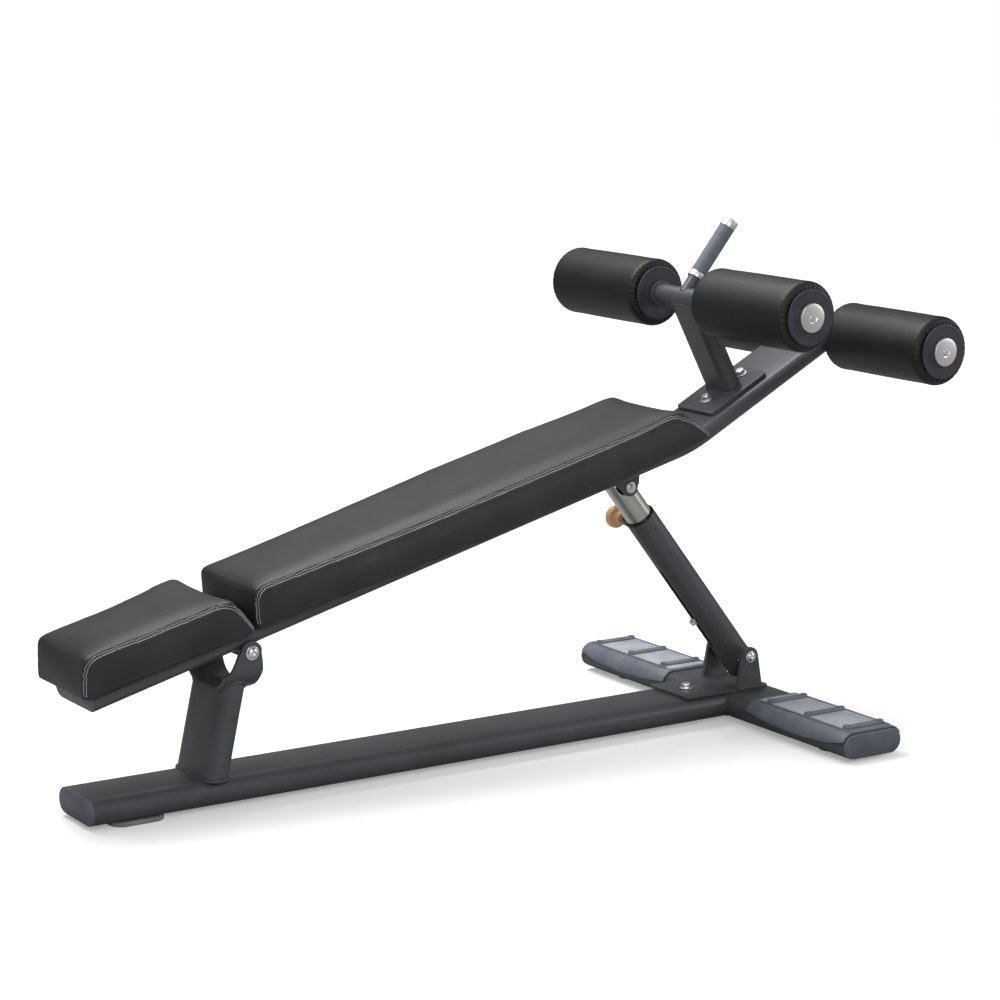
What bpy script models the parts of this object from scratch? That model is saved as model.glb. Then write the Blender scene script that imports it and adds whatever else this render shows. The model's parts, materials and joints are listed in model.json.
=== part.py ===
"""Adjustable decline bench: flat oval steel frame, hinged pad beam on a strut, four leg rollers.

Metres, +Z up. +X runs from the head end to the roller end, the bench is upright on z = 0, and the origin
is under the middle of the whole bench. "near" is the -Y side and "far" the +Y side.
"""
import math

import bmesh
import bpy
from mathutils import Vector

GAP = 0.0003                  # clearance between touching pieces
WALL = 0.003                  # wall of every flat oval tube

# base: one long flat oval beam on a flat oval cross foot
TUBE_WIDTH = 0.140
TUBE_DEPTH = 0.048
FRAME_BOTTOM = 0.008          # rubber feet hold the frame this far up
BEAM_REAR = -0.848
CAP_THICKNESS = 0.005
FOOT_X = 0.610
FOOT_LENGTH = 0.870
FOOT_PLATE_SPAN = (0.138, 0.429)
RIB_Y = (0.176, 0.290, 0.404)
RIB_HALF_LENGTH = 0.049

# rear post and its saddle
POST_X = -0.5983
POST_LEAN = math.radians(12.1)
SADDLE_HALF_WIDTH = 0.084
SADDLE_CORNER = 0.060
SADDLE_BOTTOM = 0.212
SADDLE_PLATE = 0.007

# pivots in the bench's middle plane: pad beam on post, strut on base, strut under pad beam
SEAT_PIVOT = Vector((-0.5400, 0.0, 0.2865))
STRUT_FOOT = Vector((0.6075, 0.0, 0.1245))
STRUT_HEAD = Vector((0.3135, 0.0, 0.4962))

# pad beam: lower run, one bend, upper run
SEAT_REAR = Vector((-0.8465, 0.0, 0.2310))
SEAT_ANGLE = math.radians(14.8)
SEAT_BEND = 1.3358            # from the rear end to the corner of the bend
BEND_RADIUS = 0.30
UPPER_ANGLE = math.radians(28.1)
SEAT_WIDTH = 0.150
SEAT_DEPTH = 0.034
BUSHING_RADIUS = 0.014
BOLT_RADIUS = 0.006

# strut
OUTER_RADIUS = 0.0312
INNER_RADIUS = 0.0270
OUTER_BELOW = 0.043           # from the lower pivot down to the tube's end
OUTER_ABOVE = 0.385           # from the lower pivot up to the rim
INNER_FROM = 0.100            # inner tube's lower end, from the lower pivot
GUIDE_BOLT = 0.119
SLOT = (0.042, 0.262)         # slot that the guide bolt runs in
PULL_PIN = 0.3615             # pull pin, from the lower pivot
PIN_RADIUS = 0.0044
HOLE_PITCH = 0.0283           # between the inner tube's locking holes
HEAD_PIN_RADIUS = 0.0065
EAR_RADIUS = 0.018
EAR_Y = 0.041                 # middle of each ear under the pad beam

# rollers and handle
UPPER_ROLLER = Vector((0.4734, 0.0, 0.8518))
LOWER_ROLLER = Vector((0.8060, 0.0, 0.7658))
ROLLER_RADIUS = 0.067
ROLLER_SPAN = (0.093, 0.373)
PLATE_RADIUS = 0.053
CROSS_TUBE_RADIUS = 0.019
UPRIGHT_STATION = 0.1568      # along the upper run, from the corner of the bend
UPRIGHT_SECTION = (0.090, 0.038)
UPRIGHT_PLATE = (0.0712, 0.2252)
UPRIGHT_BOLTS = (0.1092, 0.2044)
HANDLE_FOOT = Vector((0.4700, 0.0, 0.8600))
HANDLE_ANGLE = math.radians(51.3)

# pads, measured along the pad beam from its rear end
PAD_BOTTOM = SEAT_DEPTH / 2 + 0.0006
PAD_TOP = 0.0945
HEAD_PAD = ((-0.013, 0.097, 0.100), (0.160, 0.104, 0.107), (0.314, 0.114, 0.116))
BACK_PAD = ((0.334, 0.107, 0.108), (0.600, 0.130, 0.121), (0.850, 0.142, 0.131),
            (1.080, 0.143, 0.131), (1.308, 0.126, 0.116))

SIDE = Vector((0, 1, 0))
DOWN_RUN = Vector((math.cos(SEAT_ANGLE), 0, math.sin(SEAT_ANGLE)))
DOWN_NORMAL = Vector((-math.sin(SEAT_ANGLE), 0, math.cos(SEAT_ANGLE)))
UP_RUN = Vector((math.cos(UPPER_ANGLE), 0, math.sin(UPPER_ANGLE)))
UP_NORMAL = Vector((-math.sin(UPPER_ANGLE), 0, math.cos(UPPER_ANGLE)))
STRUT_AXIS = (STRUT_HEAD - STRUT_FOOT).normalized()
STRUT_UNDER = STRUT_AXIS.cross(SIDE).normalized()
SEAT_CORNER = SEAT_REAR + DOWN_RUN * SEAT_BEND
BEAM_TOP = FRAME_BOTTOM + TUBE_DEPTH

if STRUT_UNDER.z > 0:
    STRUT_UNDER.negate()

FINISHES = {
    "powder_coat": ((0.045, 0.047, 0.050), 0.45, 0.0),
    "end_cap": ((0.085, 0.085, 0.105), 0.5, 0.0),
    "foot_plate": ((0.20, 0.22, 0.27), 0.55, 0.0),
    "rubber": ((0.25, 0.25, 0.26), 0.8, 0.0),
    "zinc": ((0.75, 0.76, 0.78), 0.3, 1.0),
    "leatherette": ((0.018, 0.018, 0.020), 0.4, 0.0),
    "plywood": ((0.35, 0.24, 0.14), 0.8, 0.0),
    "satin_steel": ((0.55, 0.55, 0.55), 0.3, 1.0),
    "black_plastic": ((0.02, 0.02, 0.025), 0.4, 0.0),
    "knob": ((0.80, 0.38, 0.17), 0.4, 0.0),
    "grip": ((0.11, 0.12, 0.15), 0.8, 0.0),
}


def material(finish):
    """The Principled material of one finish, made once."""
    if finish in bpy.data.materials:
        return bpy.data.materials[finish]
    colour, roughness, metallic = FINISHES[finish]
    made = bpy.data.materials.new(finish)
    made.use_nodes = True
    shader = made.node_tree.nodes["Principled BSDF"]
    shader.inputs["Base Color"].default_value = (*colour, 1)
    shader.inputs["Roughness"].default_value = roughness
    shader.inputs["Metallic"].default_value = metallic
    return made


def node(name, bm, finish, origin=(0, 0, 0)):
    """Turns a bmesh in world coordinates into a named object whose origin is at the given point."""
    bmesh.ops.remove_doubles(bm, verts=bm.verts, dist=1e-6)
    bmesh.ops.recalc_face_normals(bm, faces=bm.faces)
    bmesh.ops.translate(bm, verts=bm.verts, vec=-Vector(origin))
    mesh = bpy.data.meshes.new(name)
    bm.to_mesh(mesh)
    bm.free()
    mesh.shade_smooth()
    mesh.set_sharp_from_angle(angle=math.radians(35))
    mesh.materials.append(material(finish))
    made = bpy.data.objects.new(name, mesh)
    made.location = origin
    bpy.context.scene.collection.objects.link(made)
    return made


def cut(target, bm, operation="DIFFERENCE"):
    """Cuts, joins or trims an object with the shape in bm, through an exact Boolean modifier."""
    cutter = node("cutter." + target.name + str(len(target.modifiers)), bm, "zinc")
    cutter.hide_render = True
    cutter.display_type = "WIRE"
    modifier = target.modifiers.new("cut", "BOOLEAN")
    modifier.operation = operation
    modifier.solver = "EXACT"
    modifier.object = cutter


def stadium(width, depth, steps=8):
    """Outline of a flat oval: straight sides with half round edges."""
    radius = depth / 2
    flat = width / 2 - radius
    points = []
    for side in (1, -1):
        for i in range(steps + 1):
            turn = math.pi * (i / steps - 0.5)
            points.append((side * (flat + radius * math.cos(turn)), side * radius * math.sin(turn)))
    return points


def circle(radius, steps=24):
    return [(radius * math.cos(2 * math.pi * i / steps), radius * math.sin(2 * math.pi * i / steps))
            for i in range(steps)]


def rounded(points, radius, corners=None, steps=4):
    """An outline with its corners, or only the named ones, rounded to the same radius."""
    done = []
    count = len(points)
    for i, point in enumerate(points):
        if corners is not None and i not in corners:
            done.append(point)
            continue
        here = Vector(point)
        back = (Vector(points[i - 1]) - here).normalized()
        ahead = (Vector(points[(i + 1) % count]) - here).normalized()
        half = back.angle(ahead) / 2
        middle = here + (back + ahead).normalized() * (radius / math.sin(half))
        start = here + back * (radius / math.tan(half)) - middle
        end = here + ahead * (radius / math.tan(half)) - middle
        for k in range(steps + 1):
            done.append(tuple(middle + start.lerp(end, k / steps).normalized() * radius))
    return done


def ring(bm, outline, centre, across, up):
    return [bm.verts.new(centre + across * u + up * v) for u, v in outline]


def bridge(bm, first, second):
    count = len(first)
    for i in range(count):
        bm.faces.new((first[i], first[(i + 1) % count], second[(i + 1) % count], second[i]))


def loft(stations, hollow=None):
    """A closed solid through a row of outlines. Each station is (outline, centre, across, up)."""
    bm = bmesh.new()
    outer = [ring(bm, *station) for station in stations]
    for first, second in zip(outer, outer[1:]):
        bridge(bm, first, second)
    if hollow is None:
        bm.faces.new(outer[0])
        bm.faces.new(outer[-1])
        return bm
    inner = [ring(bm, hollow, *station[1:]) for station in stations]
    for first, second in zip(inner, inner[1:]):
        bridge(bm, first, second)
    bridge(bm, outer[0], inner[0])
    bridge(bm, outer[-1], inner[-1])
    return bm


def straight(outline, start, end, across, hollow=None):
    along = (end - start).normalized()
    up = along.cross(across)
    return loft([(outline, start, across, up), (outline, end, across, up)], hollow)


def oval_tube(width, depth, start, end, across):
    inner = stadium(width - 2 * WALL, depth - 2 * WALL)
    return straight(stadium(width, depth), start, end, across, inner)


def rod(radius, start, end, steps=24, bore=None):
    """A round bar, or a bush where a bore is given."""
    along = (end - start).normalized()
    across = Vector((0, 0, 1)) if abs(along.y) > 0.9 else Vector((0, 1, 0))
    hollow = circle(bore, steps) if bore else None
    return straight(circle(radius, steps), start, end, across, hollow)


def turned(profile, foot, axis, steps=24):
    """A solid of revolution. The profile is a list of (distance along the axis, radius)."""
    across = Vector((0, 0, 1)) if abs(axis.y) > 0.9 else Vector((0, 1, 0))
    up = axis.cross(across)
    return loft([(circle(radius, steps), foot + axis * along, across, up) for along, radius in profile])


def turned_bush(profile, bore, foot, axis, steps=24):
    across = Vector((0, 0, 1)) if abs(axis.y) > 0.9 else Vector((0, 1, 0))
    up = axis.cross(across)
    stations = [(circle(radius, steps), foot + axis * along, across, up) for along, radius in profile]
    return loft(stations, circle(bore, steps))


def slab(outline, centre, across, up, thickness):
    """A flat plate of the given outline, thick along across x up, from its centre."""
    normal = across.cross(up)
    half = normal * (thickness / 2)
    return loft([(outline, centre - half, across, up), (outline, centre + half, across, up)])


def merged(*parts):
    """One bmesh holding the shapes of several, for a Boolean cutter."""
    whole = bmesh.new()
    for part in parts:
        mesh = bpy.data.meshes.new("part")
        part.to_mesh(mesh)
        part.free()
        whole.from_mesh(mesh)
        bpy.data.meshes.remove(mesh)
    return whole


def seat_point(along, height=0.0, side=0.0):
    return SEAT_REAR + DOWN_RUN * along + DOWN_NORMAL * height + SIDE * side


def upper_point(along, height=0.0, side=0.0):
    return SEAT_CORNER + UP_RUN * along + UP_NORMAL * height + SIDE * side


def strut_point(along, under=0.0, side=0.0):
    return STRUT_FOOT + STRUT_AXIS * along + STRUT_UNDER * under + SIDE * side


def hex_bolt(seat, axis, length, radius=0.006, head=0.0105, height=0.0075):
    """Bolt with a six-sided head on a round flange. The seat is where the flange rests."""
    across = Vector((0, 0, 1)) if abs(axis.y) > 0.9 else SIDE
    up = axis.cross(across)
    turns = [math.pi * (i + 0.5) / 3 for i in range(6)]
    hexagon = [(head * math.cos(turn), head * math.sin(turn)) for turn in turns]
    flange = head * 1.18
    shank = turned([(-length, radius), (0.0, radius), (0.0, flange), (0.0018, flange)], seat, axis, 16)
    top = slab(hexagon, seat + axis * (height / 2 + 0.001), across, up, height)
    return shank, top


def hex_bolt_node(name, seat, axis, length, **sizes):
    shank, top = hex_bolt(seat, axis, length, **sizes)
    made = node(name, shank, "zinc")
    cut(made, top, "UNION")
    return made


def pad_outline(half_widths, corner):
    """Rounded outline of a pad seen from above, as (along, side) points."""
    near = [(along, -half) for along, half in half_widths]
    far = [(along, half) for along, half in reversed(half_widths)]
    flat = near + far
    return rounded(flat, corner, (0, len(near) - 1, len(near), len(flat) - 1))


def widened(half_widths, rear, front, wider):
    """The same outline with its ends and sides moved out or in."""
    moved = [(along, half + wider) for along, half in half_widths]
    moved[0] = (moved[0][0] + rear, moved[0][1])
    moved[-1] = (moved[-1][0] + front, moved[-1][1])
    return moved


def clear_scene():
    for made in list(bpy.data.objects):
        bpy.data.objects.remove(made, do_unlink=True)


def build_base():
    middle = FRAME_BOTTOM + TUBE_DEPTH / 2
    rear = Vector((BEAM_REAR + CAP_THICKNESS + GAP, 0, middle))
    front = Vector((FOOT_X, 0, middle))
    beam = node("base_beam", oval_tube(TUBE_WIDTH, TUBE_DEPTH, rear, front, SIDE), "powder_coat")
    half = FOOT_LENGTH / 2
    coping = stadium(TUBE_WIDTH + 2 * GAP, TUBE_DEPTH + 2 * GAP)
    ends = [Vector((FOOT_X, side * half, middle)) for side in (-1, 1)]
    cut(beam, straight(coping, ends[0], ends[1], Vector((1, 0, 0))))

    foot_end = half - CAP_THICKNESS - GAP
    near = Vector((FOOT_X, -foot_end, middle))
    far = Vector((FOOT_X, foot_end, middle))
    node("cross_foot", oval_tube(TUBE_WIDTH, TUBE_DEPTH, near, far, Vector((1, 0, 0))), "powder_coat")

    beam_end = Vector((BEAM_REAR, 0, middle))
    end_cap("base_beam_cap", beam_end, Vector((-1, 0, 0)), SIDE, TUBE_WIDTH, TUBE_DEPTH)
    for name, side in (("near", -1), ("far", 1)):
        end = Vector((FOOT_X, side * half, middle))
        end_cap("cross_foot_cap_" + name, end, SIDE * side, Vector((1, 0, 0)), TUBE_WIDTH, TUBE_DEPTH)
        foot_plate("foot_plate_" + name, side, middle)
        pad = stadium(0.080, 0.046, 5)
        centre = Vector((FOOT_X, side * 0.330, (FRAME_BOTTOM - GAP) / 2))
        rubber = slab(pad, centre, Vector((1, 0, 0)), SIDE, FRAME_BOTTOM - GAP)
        node("front_foot_" + name, rubber, "rubber")
    pad = rounded([(-0.052, -0.063), (0.052, -0.063), (0.052, 0.063), (-0.052, 0.063)], 0.024)
    centre = Vector((-0.750, 0, (FRAME_BOTTOM - GAP) / 2))
    node("rear_foot", slab(pad, centre, Vector((1, 0, 0)), SIDE, FRAME_BOTTOM - GAP), "rubber")


def end_cap(name, end, out, across, width, depth):
    """Moulded plug: a rounded lid on the tube's end with a short spigot inside the tube."""
    up = out.cross(across)
    lid = stadium(width, depth)
    crown = stadium(width - 0.004, depth - 0.004)
    spigot = stadium(width - 2 * WALL - 2 * GAP, depth - 2 * WALL - 2 * GAP)
    inside = end - out * (CAP_THICKNESS + 0.012)
    seat = end - out * CAP_THICKNESS
    edge = end - out * 0.0015
    stations = [(spigot, inside, across, up), (spigot, seat, across, up), (lid, seat, across, up),
                (lid, edge, across, up), (crown, end, across, up)]
    node(name, loft(stations), "end_cap")


def foot_plate(name, side, middle):
    """Moulded tread: a thin shell over the cross foot's top and both edges, with three raised ribs."""
    inner_end, outer_end = FOOT_PLATE_SPAN
    thickness = 0.004
    radius = TUBE_DEPTH / 2 + 3 * GAP
    flat = TUBE_WIDTH / 2 - TUBE_DEPTH / 2
    steps = 6
    stations = []
    for along, drop in ((inner_end, 14), (0.213, -2), (0.291, -8), (0.386, 4), (outer_end, 24)):
        low = math.radians(drop)
        outline = []
        for grow, order in ((thickness, 1), (0.0, -1)):
            reach = radius + grow
            turns = [low + (math.pi / 2 - low) * i / steps for i in range(steps + 1)]
            quarter = [(flat + reach * math.cos(turn), reach * math.sin(turn)) for turn in turns]
            arc = quarter + [(-u, v) for u, v in quarter[::-1]]
            outline += arc[::order]
        centre = Vector((FOOT_X, side * along, middle))
        stations.append((outline, centre, Vector((1, 0, 0)), Vector((0, 0, 1))))
    plate = node(name, loft(stations), "foot_plate")
    top = middle + radius + thickness
    ribs = []
    for rib in RIB_Y:
        outline = stadium(2 * RIB_HALF_LENGTH, 0.016, 4)
        ribs.append(slab(outline, Vector((FOOT_X, side * rib, top)), Vector((1, 0, 0)), SIDE, 0.006))
    cut(plate, merged(*ribs), "UNION")


def build_post():
    lean = Vector((math.sin(POST_LEAN), 0, math.cos(POST_LEAN)))
    foot = Vector((POST_X, 0, BEAM_TOP))
    below = foot - lean * 0.03
    above = foot + lean * 0.26
    post = node("rear_post", oval_tube(TUBE_WIDTH, TUBE_DEPTH, below, above, SIDE), "powder_coat")
    floor = [(-0.12, -0.1), (0.12, -0.1), (0.12, GAP), (-0.12, GAP)]
    cut(post, slab(floor, foot, SIDE, Vector((0, 0, 1)), 0.3))
    channel = saddle_section(GAP, 0.45)
    cut(post, straight_x(channel, POST_X - 0.1, POST_X + 0.2))

    saddle = node("post_saddle", straight_x(saddle_section(0.0, 0.36), -0.62, -0.47), "powder_coat")
    hollow = saddle_section(-SADDLE_PLATE, 0.45)
    cut(saddle, straight_x(hollow, -0.63, -0.45))
    side_view = [(-0.590, 0.205), (-0.538, 0.205), (-0.520, 0.222), (-0.516, 0.252), (-0.521, 0.289),
                 *arc_points(SEAT_PIVOT.x, SEAT_PIVOT.z, 0.021, 10, 170, 7),
                 (-0.566, 0.284), (-0.579, 0.254), (-0.590, 0.246)]
    centre = Vector((0, 0, 0))
    trim = slab(side_view, centre, Vector((1, 0, 0)), Vector((0, 0, 1)), 0.3)
    cut(saddle, trim, "INTERSECT")
    bolt_span(saddle, SEAT_PIVOT, 0.12)

    reach = SADDLE_HALF_WIDTH + GAP
    pivot_bolt("rear_pivot", SEAT_PIVOT, reach)


def pivot_bolt(name, centre, reach):
    """Through bolt done up: domed head on the near side, shank, flange nut on the far side."""
    far = -2 * reach
    profile = [(far - 0.0105, 0.0085), (far - 0.0085, 0.0105), (far - 0.002, 0.0105), (far - 0.002, 0.0125),
               (far, 0.0125), (far, BOLT_RADIUS), (0.0, BOLT_RADIUS), (0.0, 0.0125), (0.002, 0.0125),
               (0.0045, 0.0105), (0.0065, 0.006)]
    node(name + "_bolt", turned(profile, centre - SIDE * reach, -SIDE, 16), "zinc")


def bolt_span(target, centre, reach):
    cut(target, rod(BOLT_RADIUS + GAP, centre - SIDE * reach, centre + SIDE * reach, 16))


def arc_points(x, z, radius, start, end, steps):
    points = []
    for i in range(steps + 1):
        turn = math.radians(start + (end - start) * i / steps)
        points.append((x + radius * math.cos(turn), z + radius * math.sin(turn)))
    return points


def saddle_section(grow, top):
    """Section of the saddle across the bench, with straight legs and a wide round bottom."""
    half = SADDLE_HALF_WIDTH + grow
    radius = SADDLE_CORNER + grow
    bottom = SADDLE_BOTTOM - grow
    corners = arc_points(half - radius, bottom + radius, radius, -90, 0, 8)
    right = corners + [(half, top)]
    left = [(-u, v) for u, v in right[::-1]]
    return left + right


def straight_x(section, start, end):
    along = (section, Vector((start, 0, 0)), SIDE, Vector((0, 0, 1)))
    return loft([along, (section, Vector((end, 0, 0)), SIDE, Vector((0, 0, 1)))])


def build_clevis():
    """Welded clevis: a base plate bolted on the beam with two ears that carry the strut's foot."""
    plate_top = BEAM_TOP + GAP + 0.006
    outline = rounded([(0.447, -0.060), (0.655, -0.060), (0.655, 0.060), (0.447, 0.060)], 0.006, steps=2)
    plate = slab(outline, Vector((0, 0, plate_top - 0.003)), Vector((1, 0, 0)), SIDE, 0.006)
    clevis = node("base_clevis", plate, "powder_coat")
    ears = []
    for side in (-1, 1):
        ear = [(0.576, plate_top - 0.003), (0.639, plate_top - 0.003), (0.6275, 0.1245),
               *arc_points(STRUT_FOOT.x, STRUT_FOOT.z, 0.0195, 10, 170, 6), (0.588, 0.1245)]
        ears.append(slab(ear, SIDE * (side * 0.056), Vector((1, 0, 0)), Vector((0, 0, 1)), 0.008))
    cut(clevis, merged(*ears), "UNION")
    bolt_span(clevis, STRUT_FOOT, 0.08)
    seat = Vector((0.492, 0, plate_top + GAP))
    cut(clevis, rod(0.006 + GAP, seat - Vector((0, 0, 0.02)), seat + Vector((0, 0, 0.02))))
    hex_bolt_node("clevis_bolt", seat, Vector((0, 0, 1)), 0.0060, head=0.0100)
    pivot_bolt("strut_foot", STRUT_FOOT, 0.060 + GAP)


def build_seat_beam():
    across = SIDE
    outline = stadium(SEAT_WIDTH, SEAT_DEPTH)
    inner = stadium(SEAT_WIDTH - 2 * WALL, SEAT_DEPTH - 2 * WALL)
    half_turn = (UPPER_ANGLE - SEAT_ANGLE) / 2
    lead = BEND_RADIUS * math.tan(half_turn)
    bend_start = seat_point(SEAT_BEND - lead)
    centre = bend_start + DOWN_NORMAL * BEND_RADIUS
    stations = [(outline, seat_point(CAP_THICKNESS + GAP), across, DOWN_NORMAL)]
    for i in range(5):
        angle = SEAT_ANGLE + (UPPER_ANGLE - SEAT_ANGLE) * i / 4
        normal = Vector((-math.sin(angle), 0, math.cos(angle)))
        stations.append((outline, centre - normal * BEND_RADIUS, across, normal))
    end = (LOWER_ROLLER - SEAT_CORNER).dot(UP_RUN)
    stations.append((outline, upper_point(end), across, UP_NORMAL))
    beam = node("seat_beam", loft(stations, inner), "powder_coat", SEAT_PIVOT)
    reach = SIDE * 0.10
    cut(beam, rod(CROSS_TUBE_RADIUS + GAP, LOWER_ROLLER - reach, LOWER_ROLLER + reach))
    cut(beam, rod(BUSHING_RADIUS + GAP, SEAT_PIVOT - reach, SEAT_PIVOT + reach))
    end_cap("seat_beam_cap", SEAT_REAR, -DOWN_RUN, SIDE, SEAT_WIDTH, SEAT_DEPTH)
    bush_half = SADDLE_HALF_WIDTH - SADDLE_PLATE - 0.001
    bush = rod(BUSHING_RADIUS, SEAT_PIVOT - SIDE * bush_half, SEAT_PIVOT + SIDE * bush_half,
               bore=BOLT_RADIUS + GAP)
    node("pivot_bushing", bush, "powder_coat", SEAT_PIVOT)


def build_strut_ears():
    """Two ears welded under the pad beam hold the strut's head pin."""
    along = (STRUT_HEAD - SEAT_REAR).dot(DOWN_RUN)
    under = -SEAT_DEPTH / 2 - GAP
    head = (STRUT_HEAD - SEAT_REAR).dot(DOWN_NORMAL)
    outline = [(-0.034, under), (-0.024, head + 0.006), *arc_points(0, head, EAR_RADIUS, 190, 350, 6),
               (0.022, head + 0.002), (0.028, under)]
    for name, side in (("near", -1), ("far", 1)):
        centre = seat_point(along, 0, side * EAR_Y)
        ear = node("strut_ear_" + name, slab(outline, centre, DOWN_RUN, DOWN_NORMAL, 0.006), "powder_coat")
        cut(ear, rod(HEAD_PIN_RADIUS + GAP, STRUT_HEAD - SIDE * 0.06, STRUT_HEAD + SIDE * 0.06))
    face = EAR_Y + 0.003 + GAP
    profile = [(-2 * face - 0.003, 0.0095), (-2 * face, 0.0095), (-2 * face, HEAD_PIN_RADIUS),
               (0.0, HEAD_PIN_RADIUS), (0.0, 0.0110), (0.003, 0.0110), (0.003, 0.0055), (0.008, 0.0050)]
    node("strut_head_pin", turned(profile, STRUT_HEAD - SIDE * face, -SIDE, 16), "zinc")


def build_strut():
    low = strut_point(-OUTER_BELOW)
    rim = strut_point(OUTER_ABOVE)
    bore = OUTER_RADIUS - 0.0025
    outer = node("strut_tube", rod(OUTER_RADIUS, low, rim, bore=bore), "powder_coat", STRUT_FOOT)
    cut(outer, rod(0.0142 + GAP, STRUT_FOOT - SIDE * 0.05, STRUT_FOOT + SIDE * 0.05))
    width = 0.0055
    start, end = SLOT
    along = (start + end) / 2
    slot = stadium(end - start, 2 * width, 5)
    cut(outer, slab(slot, strut_point(along, OUTER_RADIUS), STRUT_AXIS, SIDE, 0.02))
    cut(outer, rod(0.0085, strut_point(PULL_PIN), strut_point(PULL_PIN, 0, 0.06)))

    bush = rod(0.0142, STRUT_FOOT - SIDE * 0.0505, STRUT_FOOT + SIDE * 0.0505, bore=BOLT_RADIUS + GAP)
    node("strut_bushing", bush, "powder_coat", STRUT_FOOT)

    liner_bore = INNER_RADIUS + GAP
    rim = OUTER_ABOVE + GAP
    liner = turned_bush([(OUTER_ABOVE - 0.022, bore - GAP), (rim, bore - GAP),
                         (rim, OUTER_RADIUS - 0.001), (OUTER_ABOVE + 0.002, OUTER_RADIUS - 0.002)],
                        liner_bore, STRUT_FOOT, STRUT_AXIS)
    made = node("strut_liner", liner, "black_plastic", STRUT_FOOT)
    cut(made, rod(0.0085, strut_point(PULL_PIN), strut_point(PULL_PIN, 0, 0.06)))

    shoulder = OUTER_RADIUS + 0.001
    housing = turned_bush([(bore * 0.955, 0.0082), (shoulder, 0.0082), (shoulder, 0.0135),
                           (0.058, 0.0135), (0.060, 0.0115)],
                          PIN_RADIUS + GAP, strut_point(PULL_PIN), SIDE, 16)
    node("pin_housing", housing, "black_plastic", strut_point(PULL_PIN))

    length = (STRUT_HEAD - STRUT_FOOT).length
    top = strut_point(length + 0.022)
    inner = rod(INNER_RADIUS, strut_point(INNER_FROM), top, bore=INNER_RADIUS - 0.0025)
    tube = node("inner_tube", inner, "satin_steel", STRUT_FOOT)
    cut(tube, rod(0.0042, strut_point(GUIDE_BOLT), strut_point(GUIDE_BOLT, 0.05), 12))
    for step in range(-2, 5):
        hole = PULL_PIN - step * HOLE_PITCH
        cut(tube, rod(0.0048, strut_point(hole), strut_point(hole, 0, 0.05), 12))
    window = stadium(0.060, 0.034, 6)
    cut(tube, slab(window, STRUT_HEAD + STRUT_AXIS * 0.010, STRUT_AXIS, STRUT_UNDER, 0.08))
    beyond = length + 0.060
    mitre = [(length + 0.0015, -0.040), (length + 0.0260, 0.040), (beyond, 0.040), (beyond, -0.040)]
    cut(tube, slab(mitre, STRUT_FOOT, STRUT_AXIS, STRUT_UNDER, 0.1))

    shank, top = hex_bolt(strut_point(GUIDE_BOLT, OUTER_RADIUS + 0.0008), STRUT_UNDER, 0.0095,
                          radius=0.0038, head=0.0075, height=0.006)
    bolt = node("guide_bolt", shank, "zinc", STRUT_FOOT)
    cut(bolt, top, "UNION")

    profile = [(0.0276, 0.0036), (0.0285, PIN_RADIUS), (0.072, PIN_RADIUS)]
    pin = turned(profile, strut_point(PULL_PIN), SIDE, 16)
    node("pull_pin", pin, "zinc", strut_point(PULL_PIN))
    knob = turned([(0.0723, 0.0120), (0.080, 0.0125), (0.088, 0.0190), (0.093, 0.0225), (0.100, 0.0232),
                   (0.108, 0.0210), (0.114, 0.0150), (0.1165, 0.0080)], strut_point(PULL_PIN), SIDE)
    node("pull_knob", knob, "knob", strut_point(PULL_PIN))


def build_upright():
    start, end = UPRIGHT_PLATE
    lift = SEAT_DEPTH / 2 + GAP
    thickness = 0.008
    outline = rounded([(start, -0.057), (end, -0.057), (end, 0.057), (start, 0.057)], 0.008, steps=3)
    plate_centre = upper_point(0, lift + thickness / 2)
    plate = node("upright_plate", slab(outline, plate_centre, UP_RUN, SIDE, thickness), "powder_coat")
    plate_top = lift + thickness + GAP
    for name, station in (("rear", UPRIGHT_BOLTS[0]), ("front", UPRIGHT_BOLTS[1])):
        seat = upper_point(station, plate_top)
        cut(plate, rod(0.006 + GAP, seat - UP_NORMAL * 0.03, seat + UP_NORMAL * 0.03))
        hex_bolt_node("upright_bolt_" + name, seat, UP_NORMAL, 0.0080, head=0.0100)

    foot = upper_point(UPRIGHT_STATION, plate_top)
    top = upper_point(UPRIGHT_STATION, (UPPER_ROLLER - SEAT_CORNER).dot(UP_NORMAL))
    upright = oval_tube(UPRIGHT_SECTION[0], UPRIGHT_SECTION[1], foot, top, SIDE)
    made = node("roller_upright", upright, "powder_coat")
    reach = SIDE * 0.10
    cut(made, rod(CROSS_TUBE_RADIUS + GAP, UPPER_ROLLER - reach, UPPER_ROLLER + reach))

    for name, axis in (("upper", UPPER_ROLLER), ("lower", LOWER_ROLLER)):
        half = ROLLER_SPAN[1] + 0.003
        bore = CROSS_TUBE_RADIUS - 0.003
        tube = rod(CROSS_TUBE_RADIUS, axis - SIDE * half, axis + SIDE * half, bore=bore)
        node(name + "_cross_tube", tube, "powder_coat")


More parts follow.
